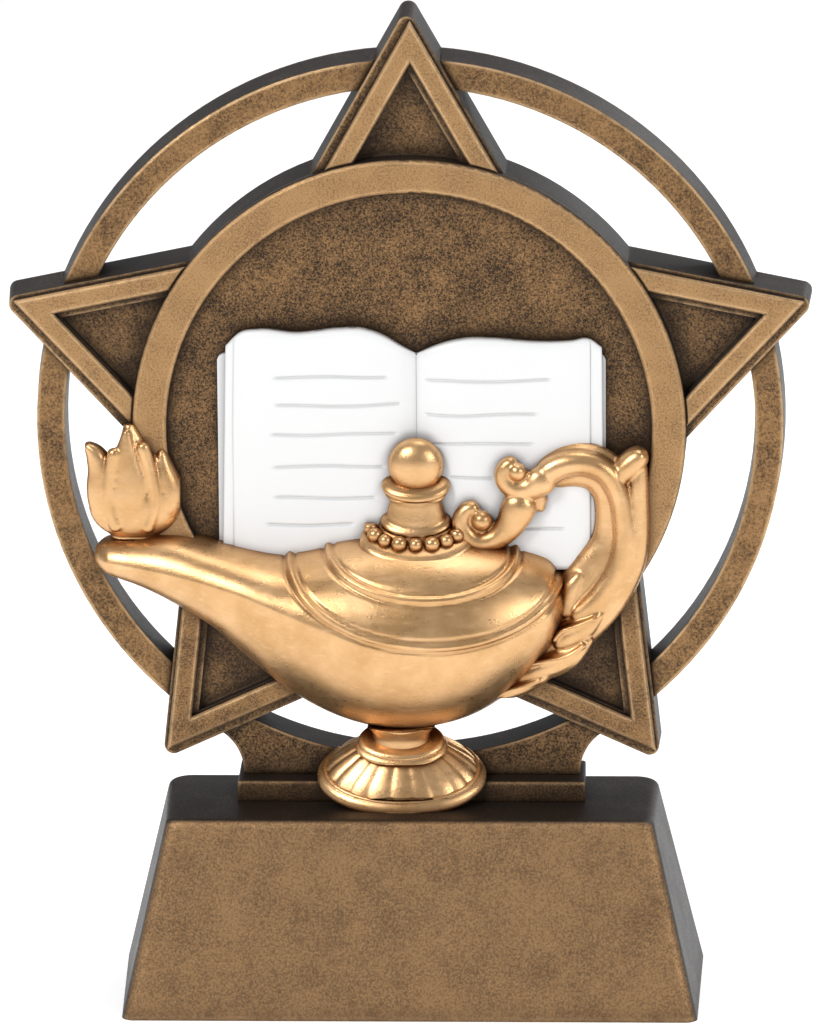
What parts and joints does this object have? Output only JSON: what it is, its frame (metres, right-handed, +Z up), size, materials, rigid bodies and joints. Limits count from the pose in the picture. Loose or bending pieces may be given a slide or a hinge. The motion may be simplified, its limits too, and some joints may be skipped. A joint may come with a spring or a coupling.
{
  "type": "star trophy",
  "caption": "Free-standing cast award: sloping base, ringed five-pointed star, round medallion, open book and oil lamp in relief.",
  "frame": {"origin": "centre of the base's underside", "axes": "+Z up, -Y out of the award's face, +X to the viewer's right as the award is faced"},
  "size_m": [0.1272, 0.038, 0.1588],
  "materials": {
    "base_bronze": "antique bronze paint, dry-brushed with gold",
    "antique_bronze": "dark antique bronze paint with a fine gold dry brush",
    "gold_frame": "satin antique gold paint",
    "satin_gold": "bright satin gold paint",
    "page_white": "satin white paint",
    "felt": "black felt",
    "pin_steel": "plain steel rod"
  },
  "bodies": {
    "root": {"base_block": "base_bronze", "base_felt_pad": "felt", "bead_string": "satin_gold", "book_cover": "page_white", "book_pages_left": "page_white", "book_pages_right": "page_white", "book_top_page_left": "page_white", "book_top_page_right": "page_white", "finial_ball": "satin_gold", "finial_collar": "satin_gold", "finial_neck": "satin_gold", "flame_core": "satin_gold", "flame_left_tongue": "satin_gold", "flame_right_tongue": "satin_gold", "foot_rim": "satin_gold", "handle_leaf_lower": "satin_gold", "handle_leaf_middle": "satin_gold", "handle_leaf_upper": "satin_gold", "handle_lower_scroll": "satin_gold", "handle_scroll_stem": "satin_gold", "handle_thumb_spur": "satin_gold", "handle_upper_scroll": "satin_gold", "lamp_bowl": "satin_gold", "lamp_foot": "satin_gold", "lamp_handle": "satin_gold", "lamp_lid_inner": "satin_gold", "lamp_lid_outer": "satin_gold", "lamp_lid_rim": "satin_gold", "lamp_spout": "satin_gold", "lamp_stem": "satin_gold", "locating_pins": "pin_steel", "medallion_disc": "antique_bronze", "medallion_rim": "antique_bronze", "outer_ring": "antique_bronze", "ring_neck": "antique_bronze", "riser_block": "antique_bronze", "star_frame_lower_left": "gold_frame", "star_frame_lower_right": "gold_frame", "star_frame_top": "gold_frame", "star_frame_upper_left": "gold_frame", "star_frame_upper_right": "gold_frame", "star_plate": "antique_bronze", "stem_ring": "satin_gold"}
  },
  "joints": []
}
